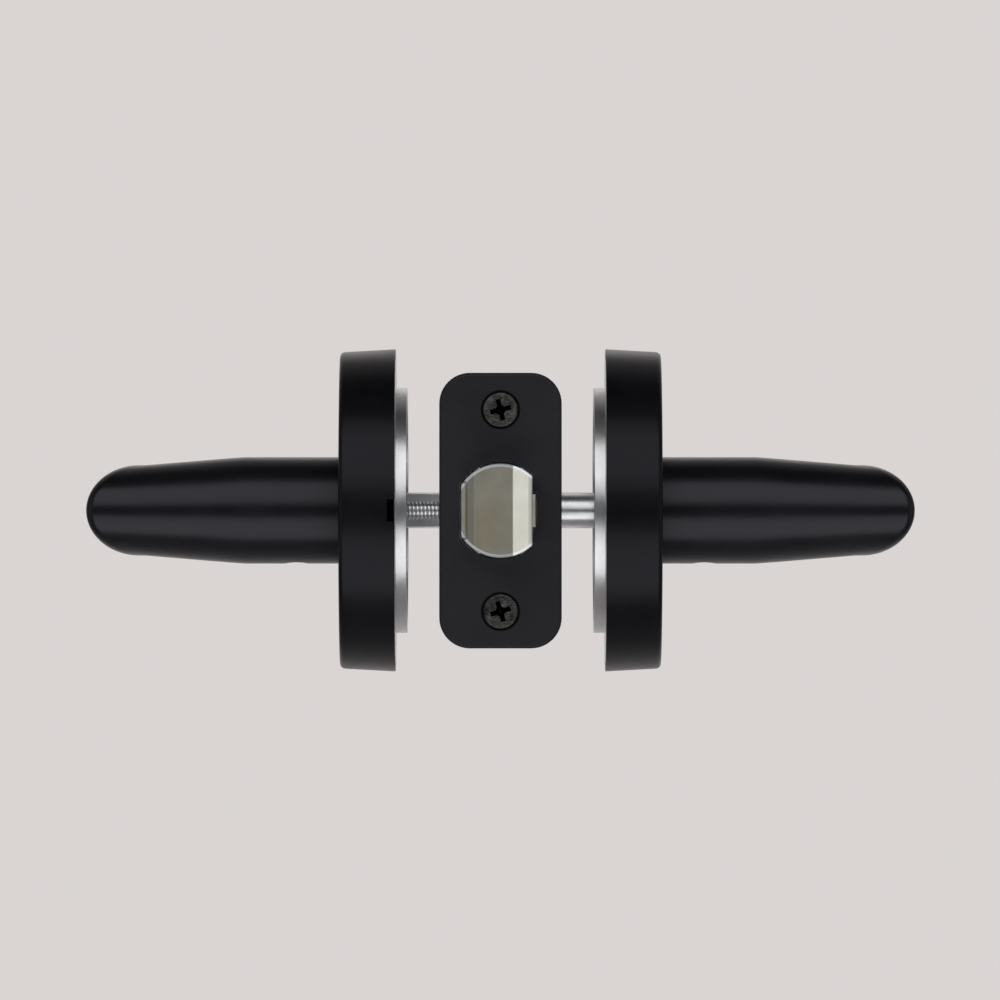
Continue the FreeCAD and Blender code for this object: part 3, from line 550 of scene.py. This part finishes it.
def lever(side, name, segments=96):
    """A lever with a bore for its drive sleeve and a hole below for its set screw."""
    rings = []
    for along, across, turn, half_height, half_width in lever_stations():
        beside = Vector((sin(turn) * side, -cos(turn), 0))
        middle = Vector((along * side, across, 0))
        rings.append([middle + Vector((0, 0, half_height * cos(tau * step / segments)))
                      + beside * half_width * sin(tau * step / segments)
                      for step in range(segments)])
    bore = [(BORE_END, 0), (BORE_END, BORE_RADIUS), (LEVER_START + BORE_LIP, BORE_RADIUS),
            (LEVER_START, BORE_RADIUS + BORE_LIP)]
    inner = []
    for along, radius in bore:
        inner.append([Vector((along * side, -radius * sin(tau * step / segments),
                              radius * cos(tau * step / segments)))
                      for step in range(segments)])
    mouth = rings[0]
    inset = 0.96                        # the shank's end is chamfered to this share
    rings[0] = [Vector((point.x + side * BORE_LIP, point.y, point.z)) for point in mouth]
    edge = [Vector((point.x, point.y * inset, point.z * inset)) for point in mouth]
    tip = [Vector(((LEVER_OUT - LEVER_BOW) * side, LEVER_TIP, 0))] * segments
    form = rings_to_form(inner + [edge] + rings + [tip], closed_ends=False)
    hole = prism("Z", circle_points(side * SET_SCREW_OUT, 0, SET_SCREW_HOLE),
                 -2 * SHANK_RADIUS, SET_SCREW_DEPTH - SHANK_RADIUS)
    form = combine(form, [hole], "DIFFERENCE")
    finish_mesh(f"{name}_lever_body", form, "handles", PAINT,
                [f"{name}_lever"], sharp=50)


# ---- Roses ---------------------------------------------------------------------------------

def rose(side, name):
    """A pressed round cover. The interior one has a notch to pry it off by."""
    height, wall = 11.8, 1.5
    base, top, hole = 34.2, 33.55, 12.6              # radii
    outline = rounded([(0, base - wall), (0, base), (height, top), (height, hole),
                       (height - wall, hole), (height - wall, top - wall)],
                      (0.2, 0.25, 1.3, 0.35, 0.15, 0.6), 8)
    turned = [(side * (DOOR_HALF + out), radius) for out, radius in outline]
    form = lathe("X", turned, segments=256)
    if name == "interior":
        depth, half, corner = 1.6, 2.35, 0.3
        low, high = -DOOR_HALF - depth, PAST - DOOR_HALF
        notch = rounded([(low, -half), (high, -half), (high, half), (low, half)],
                        (corner, 0, 0, corner))
        form = combine(form, [prism("Y", notch, -base - PAST, -base + 2 * wall)],
                       "DIFFERENCE")
    finish_mesh(f"{name}_rose_cover", form, "root", ROSE_PAINT,
                [f"{name}_rose"])


# ---- Latch front ---------------------------------------------------------------------------

def bolt_outline(gap, segments=64):
    """The bolt's section across Y, grown by a gap: two arcs, a flat each side and the key."""
    radius = BOLT_RADIUS + gap
    left, right = BOLT_LEFT + gap, BOLT_RIGHT + gap
    key, half = KEY_REACH + gap, KEY_HALF + gap
    start = atan2(sqrt(radius ** 2 - right ** 2), right)
    end = atan2(sqrt(radius ** 2 - left ** 2), -left)
    upper = [(radius * cos(start + (end - start) * step / segments),
              radius * sin(start + (end - start) * step / segments))
             for step in range(segments + 1)]
    lower = [(across, -up) for across, up in reversed(upper)]
    return upper + lower + [(right, -half), (key, -half), (key, half), (right, half)]


def faceplate():
    """The front plate with the bolt's opening, two countersunk holes and a rolled rim."""
    half_width, half_height, radius = plate_high.x, plate_high.z, PLATE_CORNER
    back = FRONT + PLATE_THICK + PAST
    steps = 12
    outline = []
    for across, up, start in ((1, 1, 0), (-1, 1, 90), (-1, -1, 180), (1, -1, 270)):
        for step in range(steps + 1):
            angle = radians(start + 90 * step / steps)
            outline.append((across * (half_width - radius) + radius * cos(angle),
                            up * (half_height - radius) + radius * sin(angle)))
    form = prism("Y", outline, FRONT, FRONT + PLATE_THICK)
    cutters = [prism("Y", bolt_outline(BOLT_GAP), FRONT - PAST, back)]
    cone_start = CSK_RADIUS - 0.08      # the wall above the cone leans in a little
    cone = [(FRONT - PAST, 0), (FRONT - PAST, CSK_RADIUS), (FRONT + CSK_SUNK, cone_start),
            (back, cone_start - CSK_SLOPE * (PLATE_THICK + PAST - CSK_SUNK)), (back, 0)]
    for sign in (1, -1):
        cutters.append(lathe("Y", cone, (0, 0, sign * SCREW_SPREAD), 96))
    form = combine(form, cutters, "DIFFERENCE")

    def on_rim(edge):
        """Whether an edge runs round the outside of the plate's front."""
        middle = (edge.verts[0].co + edge.verts[1].co) / 2
        outer = abs(middle.x) > half_width - 0.01 or abs(middle.z) > half_height - 0.01
        corner = Vector((abs(middle.x) - half_width + radius,
                         abs(middle.z) - half_height + radius))
        on_arc = min(corner) > 0 and corner.length > radius - 0.05
        return abs(middle.y - FRONT) < 1e-3 and (outer or on_arc)

    tidy(form)
    roll, worn = 0.7, 0.1
    soften(form, roll, 5, on_rim)
    soften(form, worn, 2, lambda edge: edge.calc_length() > worn, angle=40)
    finish_mesh("faceplate", form, "root", PLATE_PAINT,
                ["latch_faceplate"])


def bolt_rows():
    """Rows of points over the bolt's end, one for each place across its side view.

    Each row runs from the lower rim to the upper one and rolls over at both.
    """
    tip = bolt_low.y
    inner = BOLT_RADIUS - RIM_WIDTH
    steps, longest = 5, 0.35
    corners = [(-BOLT_LEFT, 10.9), (-7.3, 10.8), (-6.95, 8.95), (-BEVEL_FOOT, 7.3),
               (BEVEL_TOP, 0), (BOLT_RIGHT, 0), (BOLT_RIGHT, 1.4)]    # across, behind the tip
    side_view = rounded([(across, tip + drop) for across, drop in corners],
                        (0, 0.1, 0.5, 0.6, 0.25, 0.9, 0), 6)
    rows = []
    for across, along in subdivided(side_view, longest):
        height = sqrt(inner ** 2 - across ** 2)
        outer = min(max(across * BOLT_RADIUS / inner, -BOLT_LEFT), BOLT_RIGHT)
        outer_height = sqrt(BOLT_RADIUS ** 2 - outer ** 2)
        upper = []
        for step in range(steps + 1):
            turn = radians(90 * step / steps)
            share = sin(turn)
            upper.append(Vector((across + (outer - across) * share,
                                 along + RIM_DEPTH * (1 - cos(turn)),
                                 height + (outer_height - height) * share)))
        lower = [Vector((point.x, point.y, -point.z)) for point in upper]
        rows.append(list(reversed(lower)) + upper)
    return rows


def close_back(form, rim, back):
    """Carry a rim straight back and close it there.

    Where the flats begin, several of the rim's points lie on one line along Y. They share
    one point at the back, and the side that they border takes them all.
    """
    columns = [[rim[0]]]
    for vert in rim[1:]:
        apart = vert.co - columns[-1][0].co
        if Vector((apart.x, apart.z)).length < 1e-4:
            columns[-1].append(vert)
        else:
            columns.append([vert])
    ends = [form.verts.new((column[0].co.x, back, column[0].co.z)) for column in columns]
    for index, column in enumerate(columns):
        after = (index + 1) % len(columns)
        further = columns[after]
        near = column if column[-1].co.y < column[0].co.y else column[-1:]
        far = further if further[-1].co.y > further[0].co.y else further[:1]
        form.faces.new(near + far + [ends[after], ends[index]])
    form.faces.new(ends)


def bolt():
    """The bevelled bolt with its guide key, its spring's bore and the tail's recess."""
    back = bolt_high.y
    form = bmesh.new()
    grid = [[form.verts.new(point) for point in row] for row in bolt_rows()]
    for near, far in zip(grid, grid[1:]):
        for index in range(len(near) - 1):
            form.faces.new((near[index], near[index + 1], far[index + 1], far[index]))
    rim = [row[-1] for row in grid] + grid[-1][-2:0:-1]
    rim += [row[0] for row in reversed(grid)] + grid[0][1:-1]
    close_back(form, rim, back)
    root, start = BOLT_RIGHT - 0.4, bolt_low.y + 1.3
    key = rounded([(root, start), (KEY_REACH, start), (KEY_REACH, back), (root, back)],
                  (0, 0.3, 0, 0), 4)
    form = combine(form, [prism("Z", key, -KEY_HALF, KEY_HALF)], "UNION")
    deep, radius = 11.7, 3.7
    bore = lathe("Y", [(back - deep, 0), (back - deep, radius), (back + PAST, radius),
                       (back + PAST, 0)])
    across, up, thick = 5.0, 6.8, 2.0
    web = prism("Y", [(-across, -up), (across, -up), (across, up), (-across, up)],
                back - thick, back + PAST)
    form = combine(form, [bore, web], "DIFFERENCE")
    finish_mesh("bolt_head", form, "bolt", BOLT_METAL, ["latch_bolt"],
                sharp=45)


# ---- Screws --------------------------------------------------------------------------------

RECESS = ((-0.25, 1.04, 0.25), (0.0, 0.96, 0.22), (0.5, 0.72, 0.17), (1.0, 0.3, 0.1))
SCREW_SEGMENTS = 40


def cross_recess(axis, middle, front, size, turn):
    """A crossed recess: two tapered bars and a pointed middle, cut inwards from a face.

    RECESS gives each bar's depth as a share of the whole, and its half length and half
    width there as shares of the size.
    """
    forms = []
    depth = size * 1.05
    for quarter in (0, 90):
        rings = []
        for share, reach, half in RECESS:
            ring = []
            for across, up in ((-reach, -half), (reach, -half), (reach, half),
                               (-reach, half)):
                angle = radians(turn + quarter)
                a = size * (across * cos(angle) - up * sin(angle))
                b = size * (across * sin(angle) + up * cos(angle))
                level = front + depth * share
                if axis == "Y":
                    ring.append(Vector((middle[0] + a, level, middle[2] + b)))
                else:
                    ring.append(Vector((level, middle[1] + a, middle[2] + b)))
            rings.append(ring)
        forms.append(rings_to_form(rings))
    points = [(front - 0.1, 0), (front - 0.1, size * 0.46),
              (front + depth * 0.6, size * 0.36), (front + depth * 1.1, 0)]
    forms.append(lathe(axis, points, middle, 24))
    return forms


def threaded(axis, start, end, core, crest, pitch, centre, taper=0.0):
    """Rings of a screw thread's surface from start to end, fading in and out.

    With taper, that share of the length at the end slims to a point.
    """
    length = end - start
    steps = max(8, int(length / pitch * 10))
    rings = []
    for step in range(steps + 1):
        share = step / steps
        along = start + length * share
        fade = min(1, share * steps / 6, (1 - share) * steps / 3)
        slim = 1 - max(0.0, (share - 1 + taper) / taper) if taper else 1
        ring = []
        for index in range(SCREW_SEGMENTS):
            angle = tau * index / SCREW_SEGMENTS
            phase = (length * share / pitch - index / SCREW_SEGMENTS) % 1
            ridge = max(0.0, 1 - abs(phase - 0.5) * 3.2)
            radius = (core + (crest - core) * ridge * fade) * max(slim, 0.02)
            ring.append(around(axis, along, radius, angle, centre))
        rings.append(ring)
    return rings


def ring_at(axis, along, radius, centre):
    """A plain ring of a screw, to go before or after its thread."""
    return [around(axis, along, radius, tau * step / SCREW_SEGMENTS, centre)
            for step in range(SCREW_SEGMENTS)]


def wood_screw(sign, turn):
    """A countersunk wood screw with its head let into the faceplate."""
    centre = (0, 0, sign * SCREW_SPREAD)
    head, neck_radius = HEAD_RADIUS, 1.72
    front = screw_low.y + 0.02
    edge = 0.55                         # depth of the head's straight side
    neck = front + edge + (head - neck_radius) / CSK_SLOPE
    rings = [ring_at("Y", front, head * share, centre) for share in (0.001, 0.5, 0.8)]
    rings += [ring_at("Y", front + drop, head - inset, centre)
              for drop, inset in ((0.03, 0.22), (0.10, 0.08), (0.20, 0.05), (edge, 0.08))]
    rings += [ring_at("Y", neck, neck_radius, centre), ring_at("Y", neck + 0.6, 1.6, centre)]
    rings += threaded("Y", neck + 0.9, screw_high.y, core=1.4, crest=2.04, pitch=1.6,
                      centre=centre, taper=0.28)
    form = combine(rings_to_form(rings), cross_recess("Y", centre, front, 2.3, turn),
                   "DIFFERENCE")
    name = "upper" if sign > 0 else "lower"
    finish_mesh(f"wood_screw_{name}", form, "root", SCREW_BLACK,
                ["faceplate_screws"])


def machine_screw(sign, turn):
    """A pan head screw from the interior trim into its post."""
    centre = (0, sign * POST_OFFSET, 0)
    plate_thick, head_height = 2.0, 2.2
    seat = -(DOOR_HALF + plate_thick)
    top = seat - head_height
    dome = [(0.001, 0.0), (1.2, 0.05), (2.4, 0.22), (3.2, 0.52), (3.75, 0.95), (3.98, 1.45),
            (4.0, 2.0)]                 # the head's radius at each depth
    rings = [ring_at("X", top + drop, radius, centre) for radius, drop in dome]
    rings += [ring_at("X", seat + along, radius, centre)
              for along, radius in ((0, 3.9), (0.01, 1.95), (3.0, 1.7))]
    rings += threaded("X", seat + 3.2, 0.0, core=1.62, crest=2.03, pitch=0.8, centre=centre)
    form = combine(rings_to_form(rings), cross_recess("X", centre, top, 2.1, turn),
                   "DIFFERENCE")
    name = "rear" if sign > 0 else "front"
    finish_mesh(f"machine_screw_{name}", form, "root", ZINC,
                ["mounting_screws"])


# ---- Springs -------------------------------------------------------------------------------

def helix(axis, mean, wire, start, end, turns, dead=1.0, hand=1, segments=12,
          per_turn=40):
    """Rings of a coil spring whose dead end turns lie close together."""
    rings = []
    steps = int(turns * per_turn)
    close = 2.1 * wire                  # pitch of the dead turns
    sign = 1 if end > start else -1
    live = (end - start - sign * 2 * dead * close) / (turns - 2 * dead)
    centres = []
    for step in range(steps + 1):
        turn = step / per_turn
        along = start
        along += sign * close * min(turn, dead)
        along += live * min(max(turn - dead, 0), turns - 2 * dead)
        along += sign * close * max(turn - (turns - dead), 0)
        centres.append(around(axis, along, mean, hand * tau * turn, (0, 0, 0)))
    for number, middle in enumerate(centres):
        ahead = centres[min(number + 1, steps)] - centres[max(number - 1, 0)]
        ahead.normalize()
        inward = Vector((0 if axis == "X" else -middle.x, 0 if axis == "Y" else -middle.y,
                         -middle.z)).normalized()
        side = ahead.cross(inward).normalized()
        inward = side.cross(ahead)
        rings.append([middle + (inward * cos(tau * step / segments)
                                + side * sin(tau * step / segments)) * wire
                      for step in range(segments)])
    return rings


def bolt_spring():
    """The spring in the bolt's bore, squashed against its rear end by the bolt's travel."""
    wire, mean, turns = 0.4, 2.9, 9.0
    rings = helix("Y", mean, wire, spring_low.y + wire, spring_high.y - wire, turns)
    piece = finish_mesh("bolt_coil_spring", rings_to_form(rings), "retractor",
                        SPRING, ["bolt_spring"])
    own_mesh(piece)


def return_spring(side, name):
    """The coil stays with the trim, and its driven leg turns with the lever."""
    wire, mean, turns, tip_round = 0.45, 10.75, 3.75, 0.15
    foot, start, end, leg = (side * (DOOR_HALF + out) for out in (0.6, 3.0, 6.75, 8.0))
    coil = helix("X", mean, wire, start, end, turns, dead=0.0, hand=-1, per_turn=64)
    finish_mesh(f"{name}_return_coil", rings_to_form(coil), "root", SPRING,
                [f"{name}_return_spring"])
    fixed = rounded([(foot, 0), (foot, wire), (start, wire), (start, 0)],
                    (0, tip_round, 0, 0), 3)
    finish_mesh(f"{name}_spring_foot", lathe("X", fixed, (0, mean, 0), 20), "root",
                SPRING)
    driven = rounded([(end, 0), (end, wire), (leg, wire), (leg, 0)],
                     (0, 0, tip_round, 0), 3)
    finish_mesh(f"{name}_spring_leg", lathe("X", driven, (0, 0, mean), 20), "handles",
                SPRING)


# ---- CAD nodes that keep their own shape ---------------------------------------------------

SLOTS = {item["node"]: item["material_slot"] for item in frame["record"]["subparts"]}
EDGES = {"latch_backplate": 0.15, "latch_barrel": 0.12, "bolt_guide": 0.15, "bolt_tail": 0.15,
         "spring_guide_pin": 0.12, "retractor_fork": 0.2, "latch_case_right": 0.15,
         "latch_case_left": 0.15, "case_rivets": 0.15, "spindle": 0.3, "spindle_hub": 0.15,
         "exterior_posts": 0.2, "lever_set_screws": 0.12}
for side, name in SIDES:
    EDGES.update({f"{name}_mounting_plate": 0.2, f"{name}_spring_cup": 0.2,
                  f"{name}_drive_sleeve": 0.2, f"{name}_retaining_ring": 0.1,
                  f"{name}_shank_bushing": 0.12})


def dress(node, width):
    """Give a CAD node its finish and a small round on every edge.

    The interior mounting plate gets painted shade: it is black where it would show through the
    rose's notch.
    """
    piece = frame["nodes"][node]
    notch_shaded = node == "interior_mounting_plate"
    piece.data.materials.clear()
    piece.data.materials.append(NOTCH_SHADED_ZINC if notch_shaded else FINISHES[SLOTS[node]])
    weld = piece.modifiers.new("Join", "WELD")
    weld.merge_threshold = 1e-6
    edge = piece.modifiers.new("Edges", "BEVEL")
    edge.width = width * MM
    edge.segments = 2
    edge.limit_method = "ANGLE"
    edge.angle_limit = radians(32)
    edge.harden_normals = False
    piece.modifiers.new("Shading", "WEIGHTED_NORMAL")


# ---- Stage, light and camera ---------------------------------------------------------------

def stage():
    """A pale floor, well below the object, that curves up into a backdrop.

    It lights the object and shows in its gloss. The camera sees the world's pale tone
    instead, so that the backdrop hides nothing in a view from behind.
    """
    form = bmesh.new()
    front, back, top, half, curve, floor = -3.2, 0.8, 2.0, 2.6, 0.6, -1.6    # metres
    steps = 16
    profile = [(front, floor)]
    for step in range(steps + 1):
        angle = radians(90 * step / steps)
        profile.append((back - curve + curve * sin(angle), floor + curve * (1 - cos(angle))))
    profile.append((back, top))
    rows = [[form.verts.new((side * half, y, z)) for side in (-1, 1)] for y, z in profile]
    for near, far in zip(rows, rows[1:]):
        form.faces.new((near[0], near[1], far[1], far[0]))
    mesh = bpy.data.meshes.new("studio_sweep")
    form.to_mesh(mesh)
    form.free()
    mesh.shade_smooth()
    sweep = bpy.data.objects.new("studio_sweep", mesh)
    bpy.context.scene.collection.objects.link(sweep)
    sweep.visible_camera = False
    nodes = Nodes("studio_paper")
    cloud = nodes.noise(1.2)
    nodes.set(Base_Color=nodes.ramp(cloud, (0.3, (0.745, 0.71, 0.70)),
                                    (0.7, (0.765, 0.73, 0.715))), Roughness=0.9)
    mesh.materials.append(nodes.material)


def hang(data, place, aim):
    """Put a lamp at a place, turned towards its aim."""
    light = bpy.data.objects.new(data.name, data)
    light.location = place
    light.rotation_euler = (Vector(aim) - light.location).to_track_quat("-Z", "Y").to_euler()
    bpy.context.scene.collection.objects.link(light)


def softbox(name, place):
    """A broad, soft lamp that faces the object."""
    data = bpy.data.lights.new(name, "AREA")
    data.shape = "RECTANGLE"
    data.size, data.size_y = 1.6, 1.1
    data.energy = 8.5
    hang(data, place, (0, 0, 0))


def surroundings():
    """A dim world, lighter to either side of the camera. Camera rays see a plain pale tone."""
    dim, light = 0.04, 0.46
    world = bpy.data.worlds.new("studio")
    bpy.context.scene.world = world
    world.use_nodes = True
    tree = world.node_tree
    background = tree.nodes["Background"]
    place = tree.nodes.new("ShaderNodeTexCoord").outputs["Generated"]
    split = tree.nodes.new("ShaderNodeSeparateXYZ")
    sideways = tree.nodes.new("ShaderNodeMath")
    sideways.operation = "ABSOLUTE"
    wide = tree.nodes.new("ShaderNodeMapRange")
    ahead = tree.nodes.new("ShaderNodeMapRange")
    for node, (start, end, low, high) in ((wide, (0.45, 0.9, 0.0, light)),
                                          (ahead, (-0.1, 0.3, 1.0, 0.0))):
        for name, number in (("From Min", start), ("From Max", end), ("To Min", low),
                             ("To Max", high)):
            node.inputs[name].default_value = number
    both = tree.nodes.new("ShaderNodeMath")
    both.operation = "MULTIPLY_ADD"
    both.inputs[2].default_value = dim
    tree.links.new(place, split.inputs[0])
    tree.links.new(split.outputs["X"], sideways.inputs[0])
    tree.links.new(sideways.outputs[0], wide.inputs["Value"])
    tree.links.new(split.outputs["Y"], ahead.inputs["Value"])
    tree.links.new(wide.outputs["Result"], both.inputs[0])
    tree.links.new(ahead.outputs["Result"], both.inputs[1])
    tree.links.new(both.outputs[0], background.inputs["Strength"])
    background.inputs["Color"].default_value = (0.98, 0.98, 1.0, 1)
    seen = tree.nodes.new("ShaderNodeBackground")
    seen.inputs["Color"].default_value = (0.70, 0.665, 0.655, 1)
    choose = tree.nodes.new("ShaderNodeMixShader")
    path = tree.nodes.new("ShaderNodeLightPath")
    tree.links.new(path.outputs["Is Camera Ray"], choose.inputs["Fac"])
    tree.links.new(background.outputs[0], choose.inputs[1])
    tree.links.new(seen.outputs[0], choose.inputs[2])
    tree.links.new(choose.outputs[0], tree.nodes["World Output"].inputs["Surface"])


def lights():
    """One softbox above the camera, one below it and a spot on the backdrop."""
    softbox("upper_softbox", (0, -0.92, 0.77))
    softbox("lower_softbox", (0, -0.92, -0.77))
    data = bpy.data.lights.new("backdrop_light", "SPOT")
    data.energy = 105
    data.spot_size = radians(34)
    data.spot_blend = 0.8
    data.shadow_soft_size = 0.1
    hang(data, (0, 0, 1.5), (0, 0.8, -0.05))


def camera():
    """Square on to the latch edge, a little above the spindle's axis."""
    distance = 2.5
    view_width = 0.20725                # what is seen at the faceplate's plane
    across, above = -0.0001, 0.0022
    data = bpy.data.cameras.new("camera")
    data.sensor_width = 36
    data.lens = data.sensor_width * distance / view_width
    data.clip_start, data.clip_end = 0.05, 20
    eye = bpy.data.objects.new("camera", data)
    eye.location = (across, FRONT * MM - distance, above)
    eye.rotation_euler = (radians(90), 0, 0)
    bpy.context.scene.collection.objects.link(eye)
    bpy.context.scene.camera = eye


# ---- The scene -----------------------------------------------------------------------------

for side, name in SIDES:
    lever(side, name)
    rose(side, name)
    return_spring(side, name)
faceplate()
bolt()
for sign, turn in ((1, 14), (-1, 17)):
    wood_screw(sign, turn)
bolt_spring()
for sign, turn in ((1, 30), (-1, 72)):
    machine_screw(sign, turn)
for node, width in EDGES.items():
    dress(node, width)
stage()
surroundings()
lights()
camera()
bpy.context.scene.view_settings.view_transform = "Standard"
